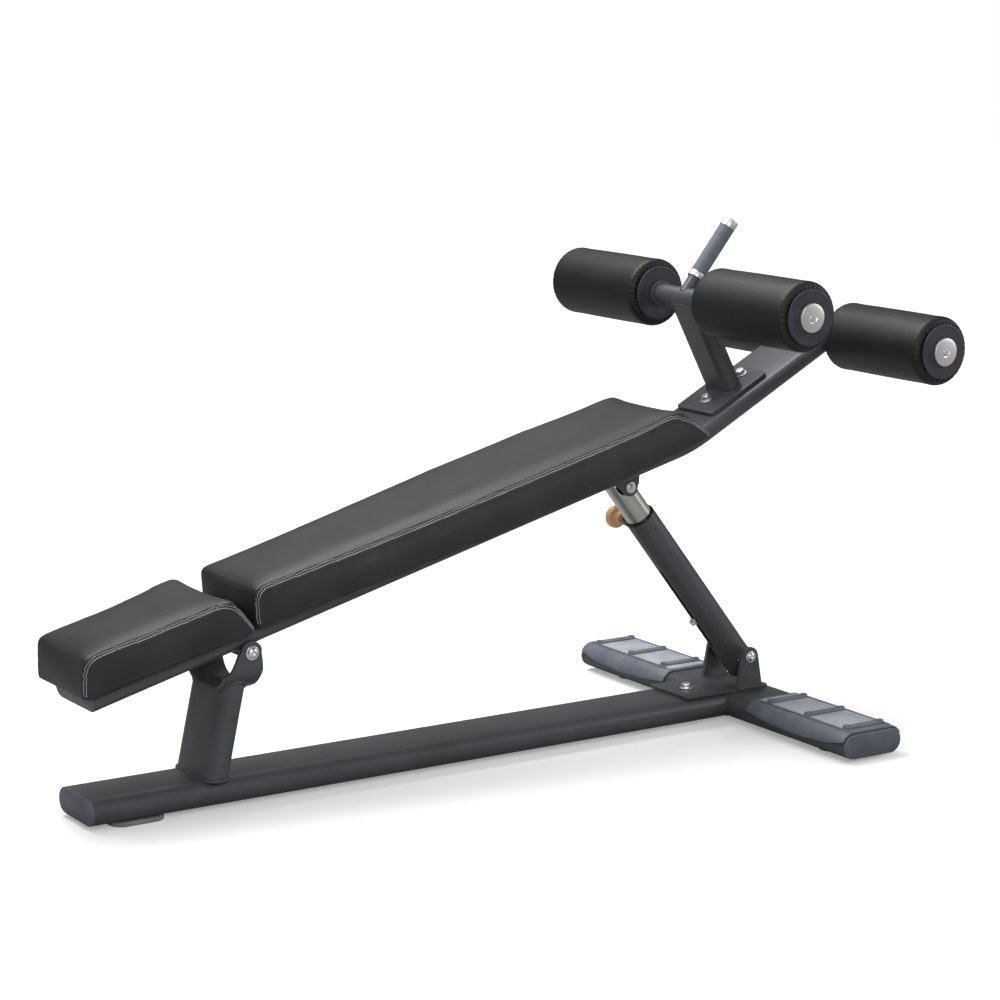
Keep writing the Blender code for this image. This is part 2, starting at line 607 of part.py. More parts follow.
def build_handle():
    axis = Vector((math.cos(HANDLE_ANGLE), 0, math.sin(HANDLE_ANGLE)))
    stub = rod(0.0133, HANDLE_FOOT, HANDLE_FOOT + axis * 0.1575, bore=0.0108)
    made = node("handle_tube", stub, "powder_coat")
    reach = SIDE * 0.05
    cut(made, rod(CROSS_TUBE_RADIUS + GAP, UPPER_ROLLER - reach, UPPER_ROLLER + reach))
    fit = 0.0133 + GAP
    ring_ends = [HANDLE_FOOT + axis * along for along in (0.036, 0.0478)]
    node("handle_ring", rod(0.0163, ring_ends[0], ring_ends[1], bore=fit), "satin_steel")
    grip = turned_bush([(0.0481, 0.0148), (0.0495, 0.0157), (0.156, 0.0157), (0.1575, 0.0150)], fit,
                       HANDLE_FOOT, axis)
    node("handle_grip", grip, "grip")
    cap = turned([(0.140, 0.0104), (0.1578, 0.0104), (0.1578, 0.0160), (0.1725, 0.0160),
                  (0.1753, 0.0140)],
                 HANDLE_FOOT, axis)
    node("handle_cap", cap, "satin_steel")


def build_roller(name, axis, side):
    """Foam sleeve and two end bushes, free to turn on the cross tube, and the fixed cap outside."""
    start, end = ROLLER_SPAN
    out = SIDE * side
    bush_radius = 0.026
    foam = turned_bush([(start, ROLLER_RADIUS - 0.014), (start + 0.004, ROLLER_RADIUS - 0.005),
                        (start + 0.014, ROLLER_RADIUS), (end - 0.014, ROLLER_RADIUS),
                        (end - 0.004, ROLLER_RADIUS - 0.005), (end, ROLLER_RADIUS - 0.014)],
                       bush_radius + GAP, axis, out, 24)
    node(name + "_roller_foam", foam, "leatherette", axis)
    bore = CROSS_TUBE_RADIUS + GAP
    profile = [(start - 0.0045, PLATE_RADIUS - 0.002), (start - 0.003, PLATE_RADIUS),
               (start - GAP, PLATE_RADIUS), (start - GAP, bush_radius), (start + 0.025, bush_radius)]
    inner = turned_bush(profile, bore, axis, out, 20)
    node(name + "_roller_inner_bush", inner, "black_plastic", axis)
    outer = turned_bush([(end - 0.025, bush_radius), (end + GAP, bush_radius), (end + GAP, PLATE_RADIUS),
                         (end + 0.003, PLATE_RADIUS), (end + 0.0045, PLATE_RADIUS - 0.002)],
                        bore, axis, out, 20)
    node(name + "_roller_outer_bush", outer, "black_plastic", axis)
    spigot = CROSS_TUBE_RADIUS - 0.003 - GAP
    face = end + 0.0052
    cap = turned([(end - 0.012, spigot), (face, spigot), (face, 0.0275), (end + 0.008, 0.0270),
                  (end + 0.0115, 0.0215), (end + 0.013, 0.0120)], axis, out, 20)
    made = node(name + "_roller_cap", cap, "satin_steel", axis)
    cut(made, rod(0.0042, axis + out * (end + 0.006), axis + out * (end + 0.02), steps=6))


def build_pads():
    pad("head_pad", HEAD_PAD, rear=(-0.0098, 0.0105), front=(0.0080, -0.0257))
    pad("back_pad", BACK_PAD, rear=(-0.0113, 0.0003), front=(0.0440, -0.0140))


def pad(name, plan, rear, front):
    """Upholstered pad on a plywood board, widest low down, with a narrow rounding round its top.

    The plan gives (along, half width at the bottom, half width at the top). Rear and front give
    how far each end stands out at the bottom and at the top.
    """
    levels = []
    for height, inset in ((PAD_BOTTOM, 0.004), (PAD_BOTTOM + 0.006, 0.001), (PAD_BOTTOM + 0.022, 0.0),
                          (PAD_TOP - 0.009, 0.0), (PAD_TOP - 0.0025, 0.0025), (PAD_TOP, 0.009)):
        share = (height - PAD_BOTTOM) / (PAD_TOP - PAD_BOTTOM)
        shape = [(along, low + (high - low) * share - inset) for along, low, high in plan]
        start = rear[0] + (rear[1] - rear[0]) * share + inset
        end = front[0] + (front[1] - front[0]) * share - inset
        if height == PAD_BOTTOM:
            start, end = 0.0, 0.0
        levels.append((height, widened(shape, start, end, 0.0)))
    stations = []
    for height, shape in levels:
        stations.append((pad_outline(shape, 0.010), seat_point(0, height), DOWN_RUN, SIDE))
    body = node(name, loft(stations), "leatherette")
    base = levels[0][1]
    board = pad_outline(widened(base, 0.016, -0.016, -0.016), 0.012)
    pocket = pad_outline(widened(base, 0.016 - GAP, -0.016 + GAP, -0.016 + GAP), 0.012)
    floor = PAD_BOTTOM - GAP / 2
    cut(body, slab(pocket, seat_point(0, floor + 0.004), DOWN_RUN, SIDE, 0.014))
    thickness = 0.0105
    middle = seat_point(0, floor + thickness / 2)
    node(name + "_board", slab(board, middle, DOWN_RUN, SIDE, thickness), "plywood")


clear_scene()
build_base()
build_post()
build_clevis()
build_seat_beam()
build_strut_ears()
build_strut()
build_upright()
build_handle()
for row, roller_axis in (("upper", UPPER_ROLLER), ("lower", LOWER_ROLLER)):
    for word, direction in (("near", -1), ("far", 1)):
        build_roller(row + "_" + word, roller_axis, direction)
build_pads()
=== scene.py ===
"""Adjustable decline bench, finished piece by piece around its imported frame."""

import json
import math

import bmesh
import bpy
import numpy as np
from mathutils import Matrix, Vector, noise
from mathutils.bvhtree import BVHTree
from mathutils.kdtree import KDTree

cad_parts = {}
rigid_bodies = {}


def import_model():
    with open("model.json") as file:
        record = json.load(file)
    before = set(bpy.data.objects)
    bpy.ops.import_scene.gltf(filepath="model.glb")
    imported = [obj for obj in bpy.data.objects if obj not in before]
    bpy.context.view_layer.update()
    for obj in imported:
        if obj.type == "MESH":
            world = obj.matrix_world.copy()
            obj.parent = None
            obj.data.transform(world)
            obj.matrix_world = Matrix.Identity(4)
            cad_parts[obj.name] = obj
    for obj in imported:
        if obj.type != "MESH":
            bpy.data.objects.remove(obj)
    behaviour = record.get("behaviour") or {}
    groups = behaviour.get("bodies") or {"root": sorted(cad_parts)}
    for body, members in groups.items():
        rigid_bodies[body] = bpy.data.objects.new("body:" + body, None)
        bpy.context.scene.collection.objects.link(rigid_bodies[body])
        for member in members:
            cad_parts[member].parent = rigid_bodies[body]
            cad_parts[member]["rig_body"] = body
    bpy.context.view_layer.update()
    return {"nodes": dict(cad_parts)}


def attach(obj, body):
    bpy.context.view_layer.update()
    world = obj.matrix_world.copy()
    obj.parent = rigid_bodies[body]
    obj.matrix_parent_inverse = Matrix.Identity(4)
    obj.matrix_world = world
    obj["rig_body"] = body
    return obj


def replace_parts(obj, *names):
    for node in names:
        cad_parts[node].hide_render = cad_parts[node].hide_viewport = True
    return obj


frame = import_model()
nodes = frame["nodes"]

# ---------------------------------------------------------------------------------------------
# Welded frame: flat oval steel tube and bent plate, blasted, then powder coated in satin charcoal.
# The plates' cut edges are broken with a file before coating, so they show a soft edge; the tubes keep their
# edges, only shaded smooth.
# ---------------------------------------------------------------------------------------------


def linear(hexa):
    """An sRGB hex colour as the linear colour that a shader takes."""
    parts = [int(hexa[i:i + 2], 16) / 255 for i in (1, 3, 5)]
    return (*[p / 12.92 if p <= 0.04045 else ((p + 0.055) / 1.055) ** 2.4 for p in parts], 1.0)


def add(tree, kind, values=None, links=None, **settings):
    """Adds a node: settings on the node, values on its input sockets, links from other nodes' sockets."""
    made = tree.nodes.new(kind)
    for name, value in settings.items():
        setattr(made, name, value)
    for name, value in (values or {}).items():
        made.inputs[name].default_value = value
    for name, socket in (links or {}).items():
        tree.links.new(socket, made.inputs[name])
    return made


def new_material(name, colour, roughness, metallic=0.0, **sockets):
    """A Principled material; returns the material, its tree, its shader and its Object coordinates."""
    made = bpy.data.materials.new(name)
    made.use_nodes = True
    tree = made.node_tree
    shader = tree.nodes["Principled BSDF"]
    shader.inputs["Base Color"].default_value = linear(colour)
    shader.inputs["Roughness"].default_value = roughness
    shader.inputs["Metallic"].default_value = metallic
    for key, value in sockets.items():
        shader.inputs[key.replace("_", " ")].default_value = value
    place = add(tree, "ShaderNodeTexCoord").outputs["Object"]
    return made, tree, shader, place


def mottled(tree, shader, place, dark, light, scale, rough):
    """Colour and roughness that wander between two values, as moulded and coated surfaces do."""
    cloud = add(tree, "ShaderNodeTexNoise", {"Scale": scale, "Detail": 4.0}, {"Vector": place})
    ramp = add(tree, "ShaderNodeValToRGB", None, {"Fac": cloud.outputs["Fac"]})
    ramp.color_ramp.elements[0].position = 0.35
    ramp.color_ramp.elements[0].color = linear(dark)
    ramp.color_ramp.elements[1].position = 0.65
    ramp.color_ramp.elements[1].color = linear(light)
    tree.links.new(ramp.outputs["Color"], shader.inputs["Base Color"])
    spread = add(tree, "ShaderNodeMapRange", {"To Min": rough[0], "To Max": rough[1]},
                 {"Value": cloud.outputs["Fac"]})
    tree.links.new(spread.outputs["Result"], shader.inputs["Roughness"])


def bumped(tree, shader, height, strength, distance):
    """Turns a height into relief. The distance is the relief's real depth in metres."""
    relief = add(tree, "ShaderNodeBump", {"Strength": strength, "Distance": distance}, {"Height": height})
    tree.links.new(relief.outputs["Normal"], shader.inputs["Normal"])


# powder coat on steel: satin, with an orange peel of about 1.5 mm that softens its highlights
powder_coat, tree, shader, place = new_material("powder_coat_satin_charcoal", "#494b4f", 0.42)
mottled(tree, shader, place, "#47494c", "#4e5054", 9.0, (0.36, 0.44))
peel = add(tree, "ShaderNodeTexNoise", {"Scale": 650.0, "Detail": 2.0}, {"Vector": place})
bumped(tree, shader, peel.outputs["Fac"], 0.22, 0.0006)


def copied(node):
    """A merged copy of a CAD node's mesh, as a bmesh, to be worked on further."""
    bm = bmesh.new()
    bm.from_mesh(nodes[node].data)
    bmesh.ops.remove_doubles(bm, verts=bm.verts, dist=2e-6)
    bmesh.ops.dissolve_limit(bm, angle_limit=math.radians(0.8), verts=bm.verts, edges=bm.edges)
    return bm


def finished(name, bm, material, body, smooth=35):
    """Makes the mesh into a piece, shaded smooth below the given angle, riding on a body."""
    mesh = bpy.data.meshes.new(name)
    bm.to_mesh(mesh)
    bm.free()
    mesh.shade_smooth()
    mesh.set_sharp_from_angle(angle=math.radians(smooth))
    mesh.materials.append(material)
    piece = bpy.data.objects.new(name, mesh)
    bpy.context.scene.collection.objects.link(piece)
    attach(piece, body)
    return piece


def rounded(bm, width, limit):
    """Rounds the edges that turn by more than the limit, in degrees."""
    sharp = [edge for edge in bm.edges
             if len(edge.link_faces) == 2 and edge.calc_face_angle() > math.radians(limit)]
    bmesh.ops.bevel(bm, geom=sharp, offset=width, affect="EDGES", segments=2, profile=0.5,
                    material=-1, clamp_overlap=True)


def edge_broken(node, width, material, limit=38):
    """Stands for a CAD node, with its sharp edges rounded to the width, or left as they are at None."""
    bm = copied(node)
    if width:
        rounded(bm, width, limit)
    piece = finished(node + "_finished", bm, material, nodes[node]["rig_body"], 36)
    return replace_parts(piece, node)


for part in ("base_beam", "cross_foot", "rear_post", "seat_beam", "roller_upright", "handle_tube",
             "upper_cross_tube", "lower_cross_tube", "strut_tube", "strut_bushing", "pivot_bushing"):
    edge_broken(part, None, powder_coat)
for part in ("post_saddle", "base_clevis", "strut_ear_near", "strut_ear_far", "upright_plate"):
    edge_broken(part, 0.0012, powder_coat)

# ---------------------------------------------------------------------------------------------
# Weld beads: short overlapping scales of steel laid round each joint of the frame, coated with it.
# ---------------------------------------------------------------------------------------------


def flat_oval(width, depth, steps=10):
    """Outline of a flat oval tube, as (across, up) points."""
    radius = depth / 2
    flat = width / 2 - radius
    points = []
    for side in (1, -1):
        for i in range(steps + 1):
            turn = math.pi * (i / steps - 0.5)
            points.append((side * (flat + radius * math.cos(turn)), side * radius * math.sin(turn)))
    return points


def resampled(points, spacing, closed):
    """Points at an even spacing along a path."""
    path = points + [points[0]] if closed else points
    lengths = [(b - a).length for a, b in zip(path, path[1:])]
    count = max(3, round(sum(lengths) / spacing))
    even = []
    leg, before = 0, 0.0
    for i in range(count + (0 if closed else 1)):
        wanted = sum(lengths) * i / count
        while leg < len(lengths) - 1 and before + lengths[leg] < wanted:
            before += lengths[leg]
            leg += 1
        share = (wanted - before) / max(lengths[leg], 1e-9)
        even.append(path[leg].lerp(path[leg + 1], min(1.0, share)))
    return even


def weld(name, points, radius, body, closed=True):
    """A bead along a path: one overlapping scale every 2.5 mm, on a round cord of weld metal."""
    path = resampled([Vector(p) for p in points], 0.00125, closed)
    curve = bpy.data.curves.new(name, "CURVE")
    curve.dimensions = "3D"
    curve.bevel_depth = radius
    curve.bevel_resolution = 2
    spline = curve.splines.new("POLY")
    spline.points.add(len(path) - 1)
    spline.use_cyclic_u = closed
    for i, (point, here) in enumerate(zip(spline.points, path)):
        point.co = (*here, 1.0)
        point.radius = 1.0 if i % 2 else 0.84
    curve.use_fill_caps = True
    holder = bpy.data.objects.new(name + "_path", curve)
    bpy.context.scene.collection.objects.link(holder)
    depsgraph = bpy.context.evaluated_depsgraph_get()
    mesh = bpy.data.meshes.new_from_object(holder.evaluated_get(depsgraph))
    bpy.data.objects.remove(holder)
    bm = bmesh.new()
    bm.from_mesh(mesh)
    bmesh.ops.recalc_face_normals(bm, faces=bm.faces)
    return finished(name, bm, powder_coat, body, 60)


side_way = Vector((0, 1, 0))
up_way = Vector((0, 0, 1))
beam_top = 0.056
post_lean = math.radians(12.1)
post_way = Vector((math.sin(post_lean), 0, math.cos(post_lean)))
post_across = Vector((math.cos(post_lean), 0, -math.sin(post_lean)))
post_foot = Vector((-0.5983, 0, beam_top))

foot_loop = []
for across, depth in flat_oval(0.1405, 0.0485):
    point = post_foot + side_way * across + post_across * depth
    foot_loop.append(point - post_way * ((point.z - beam_top) / post_way.z))
weld("weld_post_foot", foot_loop, 0.0036, "base")

saddle_half, saddle_corner, saddle_bottom = 0.084, 0.060, 0.212


def saddle_height(side):
    """Height of the saddle's underside at a distance from the middle of the bench."""
    reach = max(0.0, abs(side) - (saddle_half - saddle_corner))
    return saddle_bottom + saddle_corner - math.sqrt(max(0.0, saddle_corner ** 2 - reach ** 2))


head_loop = []
for across, depth in flat_oval(0.1405, 0.0485):
    point = post_foot + side_way * across + post_across * depth
    head_loop.append(point + post_way * ((saddle_height(across) - 0.0008 - point.z) / post_way.z))
weld("weld_post_head", head_loop, 0.0030, "base")

# ---------------------------------------------------------------------------------------------
# End caps and foot plates: injection moulded plastic, spark eroded tool, so a fine matt grain.
# The caps are pushed into the tube ends; each foot plate is screwed down through its three ribs.
# ---------------------------------------------------------------------------------------------


def moulded(name, dark, light, rough):
    """Moulded thermoplastic with a spark-eroded grain of 0.5 mm."""
    made, tree, shader, place = new_material(name, light, rough[0])
    mottled(tree, shader, place, dark, light, 25.0, rough)
    grain = add(tree, "ShaderNodeTexNoise", {"Scale": 1800.0, "Detail": 3.0}, {"Vector": place})
    bumped(tree, shader, grain.outputs["Fac"], 0.35, 0.0004)
    return made


cap_plastic = moulded("polypropylene_slate_moulded", "#585b66", "#62656f", (0.42, 0.55))
plate_plastic = moulded("nylon_blue_grey_moulded", "#656a76", "#727783", (0.40, 0.52))
# the treads get a paler copy of the plates' nylon: a painted highlight for the light that falls on their tops
plate_top_painted_highlight = moulded("nylon_blue_grey_top_painted_highlight", "#a6aab3", "#b8bbc3", (0.36, 0.48))
for part in ("base_beam_cap", "cross_foot_cap_near", "cross_foot_cap_far", "seat_beam_cap"):
    edge_broken(part, 0.0010, cap_plastic, 50)

screw_black, tree, shader, place = new_material("steel_oxide_black_screw", "#2a2a2c", 0.40, 0.8)
mottled(tree, shader, place, "#262628", "#303032", 300.0, (0.34, 0.48))
foot_x = 0.610
plate_height = 0.0610
rib_places = (0.176, 0.290, 0.404)
boss_reach = 0.0415
for side, word in ((-1, "near"), (1, "far")):
    node = "foot_plate_" + word
    bm = copied(node)
    rounded(bm, 0.0008, 38)
    plate = finished(node + "_finished", bm, plate_plastic, "base", 50)
    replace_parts(plate, node)

    # the treads between the ribs are smooth, a little below the kerbs, and paler than the plate: a painted
    # highlight for the light on the plate's top
    bm = bmesh.new()
    for middle, length in ((0.233, 0.096), (0.347, 0.096), (0.157, 0.020)):
        bmesh.ops.create_cube(bm, size=1.0, matrix=Matrix.Translation(
            (foot_x, side * middle, plate_height)) @ Matrix.Diagonal((0.094, length, 0.0012, 1)))
    bmesh.ops.bevel(bm, geom=bm.edges[:], offset=0.0004, affect="EDGES", segments=2, profile=0.5,
                    material=-1)
    finished("foot_plate_treads_" + word, bm, plate_top_painted_highlight, "base", 40)

    # three round-edged ribs across, each with a screw boss at both ends, and a kerb along each side
    bm = bmesh.new()
    for rib in rib_places:
        bar = bmesh.ops.create_cube(bm, size=1.0, matrix=Matrix.Translation(
            (foot_x, side * rib, plate_height + 0.0022)) @ Matrix.Diagonal((0.097, 0.0170, 0.0060, 1)))
        uprights = [e for v in bar["verts"] for e in v.link_edges
                    if abs((e.verts[0].co - e.verts[1].co).normalized().z) > 0.9]
        bmesh.ops.bevel(bm, geom=list(set(uprights)), offset=0.0075, affect="EDGES", segments=6,
                        profile=0.5, material=-1)
    rims = [e for e in bm.edges if min(v.co.z for v in e.verts) > plate_height + 0.004]
    bmesh.ops.bevel(bm, geom=rims, offset=0.0022, affect="EDGES", segments=4, profile=0.5, material=-1)
    for edge in (-1, 1):
        kerb_at = Matrix.Translation((foot_x + edge * 0.0500, side * 0.290, plate_height))
        kerb_size = Matrix.Diagonal((0.0050, 0.266, 0.0032, 1))
        kerb = bmesh.ops.create_cube(bm, size=1.0, matrix=kerb_at @ kerb_size)
        lines = list({e for v in kerb["verts"] for e in v.link_edges})
        bmesh.ops.bevel(bm, geom=lines, offset=0.0014, affect="EDGES", segments=3, profile=0.5, material=-1)
        for rib in rib_places:
            seat = Vector((foot_x + edge * boss_reach, side * rib, plate_height + 0.0045))
            boss = bmesh.ops.create_cone(bm, cap_ends=True, segments=24, radius1=0.0076, radius2=0.0066,
                                         depth=0.0046, matrix=Matrix.Translation(seat))
            top = [f for f in {f for v in boss["verts"] for f in v.link_faces} if f.normal.z > 0.9]
            bmesh.ops.inset_region(bm, faces=top, thickness=0.0020)
            bmesh.ops.translate(bm, verts=list({v for f in top for v in f.verts}), vec=(0, 0, -0.0030))
    finished("foot_plate_ribs_" + word, bm, plate_plastic, "base", 40)

    # a blackened countersunk screw in every boss
    bm = bmesh.new()
    for edge in (-1, 1):
        for rib in rib_places:
            seat = Vector((foot_x + edge * boss_reach, side * rib, plate_height + 0.0040))
            head = bmesh.ops.create_cone(bm, cap_ends=True, segments=20, radius1=0.0044, radius2=0.0038,
                                         depth=0.0012, matrix=Matrix.Translation(seat))
            top = [f for f in {f for v in head["verts"] for f in v.link_faces} if f.normal.z > 0.9]
            bmesh.ops.inset_region(bm, faces=top, thickness=0.0019)
            bmesh.ops.translate(bm, verts=list({v for f in top for v in f.verts}), vec=(0, 0, -0.0008))
    finished("foot_plate_screws_" + word, bm, screw_black, "base", 40)

foot_rubber = moulded("rubber_grey_moulded", "#7d8186", "#8e9296", (0.75, 0.9))
for part in ("rear_foot", "front_foot_near", "front_foot_far"):
    edge_broken(part, 0.0015, foot_rubber)

# ---------------------------------------------------------------------------------------------
# Bolts: zinc plated steel, turned and cold headed, each on a pressed washer. The pivot bolts have
# domed socket heads, the plate bolts six-sided ones.
# ---------------------------------------------------------------------------------------------
zinc, tree, shader, place = new_material("steel_zinc_plated_bright", "#eceff2", 0.30, 1.0)
mottled(tree, shader, place, "#e6e9ec", "#f2f4f6", 60.0, (0.26, 0.36))
grit = add(tree, "ShaderNodeTexNoise", {"Scale": 2600.0, "Detail": 2.0}, {"Vector": place})
bumped(tree, shader, grit.outputs["Fac"], 0.15, 0.0003)


def frame_of(way):
    """A turn that takes +Z to the given direction."""
    return Vector(way).normalized().to_track_quat("Z", "Y").to_matrix().to_4x4()


def spun(bm, profile, seat, way, steps=48):
    """Turns a profile of (radius, height) points round an axis that starts at the seat."""
    ring = bm.verts.layers.float.get("ring") or bm.verts.layers.float.new("ring")
    before = set(bm.verts)
    line = [bm.verts.new((radius, 0, height)) for radius, height in profile]
    edges = [bm.edges.new(pair) for pair in zip(line, line[1:])]
    bmesh.ops.spin(bm, geom=line + edges, cent=(0, 0, 0), axis=(0, 0, 1), dvec=(0, 0, 0),
                   angle=math.tau, steps=steps, use_merge=True)
    new = [v for v in bm.verts if v not in before]
    bmesh.ops.remove_doubles(bm, verts=new, dist=1e-6)
    new = [v for v in bm.verts if v not in before]
    for vert in new:
        vert[ring] = math.hypot(vert.co.x, vert.co.y) + vert.co.z
    bmesh.ops.recalc_face_normals(bm, faces=list({f for v in new for f in v.link_faces}))
    bmesh.ops.transform(bm, matrix=Matrix.Translation(seat) @ frame_of(way), verts=new)
    return new


def arc(radius, height, bend, start, end, steps=5):
    """Points on a rounded corner of a profile, about (radius, height)."""
    turns = [math.radians(start + (end - start) * i / steps) for i in range(steps + 1)]
    return [(radius + bend * math.cos(turn), height + bend * math.sin(turn)) for turn in turns]


def domed_head(bm, seat, way, size):
    """Washer, domed head and a round socket recess."""
    spun(bm, [(0.0, 0.0), *arc(size * 0.94, 0.0008, 0.0008, -90, 90, 6), (size * 0.72, 0.0017),
              (0.0, 0.0017)], seat, way)
    dome = [(size * 0.78 * math.cos(t), 0.0016 + size * 0.42 * math.sin(t))
            for t in [math.radians(a) for a in range(0, 66, 8)]]
    spun(bm, [(0.0, 0.0014), (size * 0.78, 0.0014), *dome, (size * 0.26, 0.0016 + size * 0.39),
              (size * 0.24, 0.0016 + size * 0.14), (0.0, 0.0016 + size * 0.12)], seat, way, 42)


def hex_head(bm, seat, way, across):
    """Washer and six-sided head with a chamfered top."""
    spun(bm, [(0.0, 0.0), *arc(across * 1.22, 0.0008, 0.0008, -90, 90, 6), (0.0, 0.0016)], seat, way)
    height = across * 0.78
    placed = Matrix.Translation(Vector(seat)) @ frame_of(way)
    middle = placed @ Matrix.Translation((0, 0, 0.0016 + height / 2))
    head = bmesh.ops.create_cone(bm, cap_ends=True, segments=6, radius1=across, radius2=across,
                                 depth=height, matrix=middle)
    edges = list({e for v in head["verts"] for e in v.link_edges})
    bmesh.ops.bevel(bm, geom=edges, offset=across * 0.09, affect="EDGES", segments=2, profile=0.5,
                    material=-1)
    crown = [(0.0, 0.0), (across * 0.84, 0.0), (across * 0.76, across * 0.14),
             (across * 0.5, across * 0.18), (0.0, across * 0.18)]
    spun(bm, crown, Vector(seat) + Vector(way).normalized() * (0.0012 + height), way, 32)


def nut(bm, seat, way, across):
    """Washer and nut, with the bolt's end standing a little proud of it."""
    hex_head(bm, seat, way, across)
    bolt_end = [(0.0, 0.0), (across * 0.52, 0.0), (across * 0.52, across * 0.30),
                (across * 0.44, across * 0.38), (0.0, across * 0.38)]
    spun(bm, bolt_end, Vector(seat) + Vector(way).normalized() * across * 0.85, way, 24)


def pivot_bolt(node, centre, reach, size):
    """Stands for a through bolt: domed head on the near side, shank, and a nut on the far side."""
    bm = bmesh.new()
    domed_head(bm, centre - side_way * reach, -side_way, size)
    nut(bm, centre + side_way * reach, side_way, size * 0.76)
    spun(bm, [(0.0, 0.0), (0.006, 0.0), (0.006, 2 * reach), (0.0, 2 * reach)], centre - side_way * reach,
         side_way, 24)
    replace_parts(finished(node + "_finished", bm, zinc, "base", 32), node)


seat_pivot = Vector((-0.5400, 0.0, 0.2865))
strut_foot = Vector((0.6075, 0.0, 0.1245))
strut_head = Vector((0.3135, 0.0, 0.4962))
pivot_bolt("rear_pivot_bolt", seat_pivot, 0.0843, 0.0130)
pivot_bolt("strut_foot_bolt", strut_foot, 0.0603, 0.0120)

clevis_bolt_seat = Vector((0.492, 0, 0.0626))
bm = bmesh.new()
hex_head(bm, clevis_bolt_seat, up_way, 0.0100)
spun(bm, [(0.0, 0.0), (0.0058, 0.0), (0.0058, -0.006), (0.0, -0.006)], clevis_bolt_seat, up_way, 20)
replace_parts(finished("clevis_bolt_finished", bm, zinc, "base", 32), "clevis_bolt")

clevis_top = 0.0623
for side, word in ((-1, "near"), (1, "far")):
    bead = [(x, side * 0.0508, clevis_top) for x in (0.577, 0.638)]
    weld("weld_clevis_inner_" + word, bead, 0.0026, "base", closed=False)
    bead = [(x, side * 0.0612, clevis_top - 0.0008) for x in (0.577, 0.638)]
    weld("weld_clevis_outer_" + word, bead, 0.0022, "base", closed=False)

# the base beam is coped round the cross foot and welded along the joint
joint_line = []
for side in (-1, 1):
    for i in range(9):
        lift = math.radians(80 - 160 * i / 8)
        joint_line.append((foot_x - 0.046 - 0.0243 * math.cos(lift), side * (0.046 + 0.024 * math.cos(lift)),
                           0.032 + 0.024 * math.sin(lift)))
weld("weld_cross_near", joint_line[:9], 0.0022, "base", closed=False)
weld("weld_cross_far", joint_line[9:], 0.0022, "base", closed=False)

# ---------------------------------------------------------------------------------------------
# Strut: powder coated tube with a glossy nylon liner at its rim, and a chromed inner tube that is
# ground and polished along its length. An orange phenolic knob pulls the sprung locking pin.
# ---------------------------------------------------------------------------------------------
strut_way = (strut_head - strut_foot).normalized()
strut_under = strut_way.cross(side_way).normalized()
if strut_under.z > 0:
    strut_under.negate()

ground_steel, tree, shader, place = new_material("steel_ground_satin", "#cfcdc9", 0.32, 1.0)
along = add(tree, "ShaderNodeMapping", None, {"Vector": place})
along.inputs["Rotation"].default_value = (0.0, math.atan2(-strut_way.x, strut_way.z), 0.0)
along.inputs["Scale"].default_value = (1.0, 1.0, 0.02)
lines = add(tree, "ShaderNodeTexNoise", {"Scale": 2200.0, "Detail": 3.0}, {"Vector": along.outputs["Vector"]})
spread = add(tree, "ShaderNodeMapRange", {"To Min": 0.24, "To Max": 0.42}, {"Value": lines.outputs["Fac"]})
tree.links.new(spread.outputs["Result"], shader.inputs["Roughness"])
bumped(tree, shader, lines.outputs["Fac"], 0.12, 0.0002)
edge_broken("inner_tube", None, ground_steel)

liner_nylon, tree, shader, place = new_material("nylon_black_gloss", "#17181c", 0.22, Coat_Weight=0.3)
mottled(tree, shader, place, "#141519", "#1b1c21", 60.0, (0.18, 0.30))
rim = strut_foot + strut_way * 0.385
bm = bmesh.new()
spun(bm, [(0.0274, -0.022), (0.0284, -0.022), (0.0284, 0.0004), (0.0300, 0.0004),
          *arc(0.0294, 0.0020, 0.0014, -45, 80, 5), *arc(0.0284, 0.0034, 0.0009, 60, 170, 4),
          (0.0274, 0.0010), (0.0274, -0.022)], rim, strut_way, 64)
liner = finished("strut_liner_finished", bm, liner_nylon, "strut_outer", 45)
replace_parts(liner, "strut_liner")
edge_broken("pin_housing", 0.0006, liner_nylon)

guide_seat = strut_foot + strut_way * 0.119 + strut_under * 0.0322
bm = bmesh.new()
hex_head(bm, guide_seat, strut_under, 0.0072)
spun(bm, [(0.0, 0.0), (0.0038, 0.0), (0.0038, -0.009), (0.0, -0.009)], guide_seat, strut_under, 20)
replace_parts(finished("guide_bolt_finished", bm, zinc, "strut_inner", 32), "guide_bolt")

# small blind hole with a grub screw on the near side below the rim
bm = bmesh.new()
screw_end = [(0.0, 0.0006), (0.0012, 0.0006), (0.0014, 0.0002), (0.0022, 0.0002), (0.0024, -0.001),
             (0.0, -0.001)]
spun(bm, screw_end, strut_foot + strut_way * 0.358 - side_way * 0.0312, -side_way, 20)
finished("grub_screw", bm, liner_nylon, "strut_outer", 40)

pin_line = strut_foot + strut_way * 0.3615
knob_plastic, tree, shader, place = new_material("phenolic_orange_moulded", "#fcbb8a", 0.34, Coat_Weight=0.15)
mottled(tree, shader, place, "#fab582", "#fec494", 40.0, (0.30, 0.42))
bm = bmesh.new()
ball = [(0.0232 * math.cos(math.radians(a)), 0.0985 + 0.0180 * math.sin(math.radians(a)))
        for a in range(-30, 91, 10)]
spun(bm, [(0.0, 0.0723), (0.0118, 0.0723), *arc(0.0118, 0.0731, 0.0008, -90, 0, 3), (0.0122, 0.0790),
          (0.0130, 0.0830), (0.0155, 0.0868), (0.0190, 0.0892), *ball], pin_line, side_way, 64)
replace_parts(finished("pull_knob_finished", bm, knob_plastic, "pull_pin", 40), "pull_knob")
edge_broken("pull_pin", None, zinc)

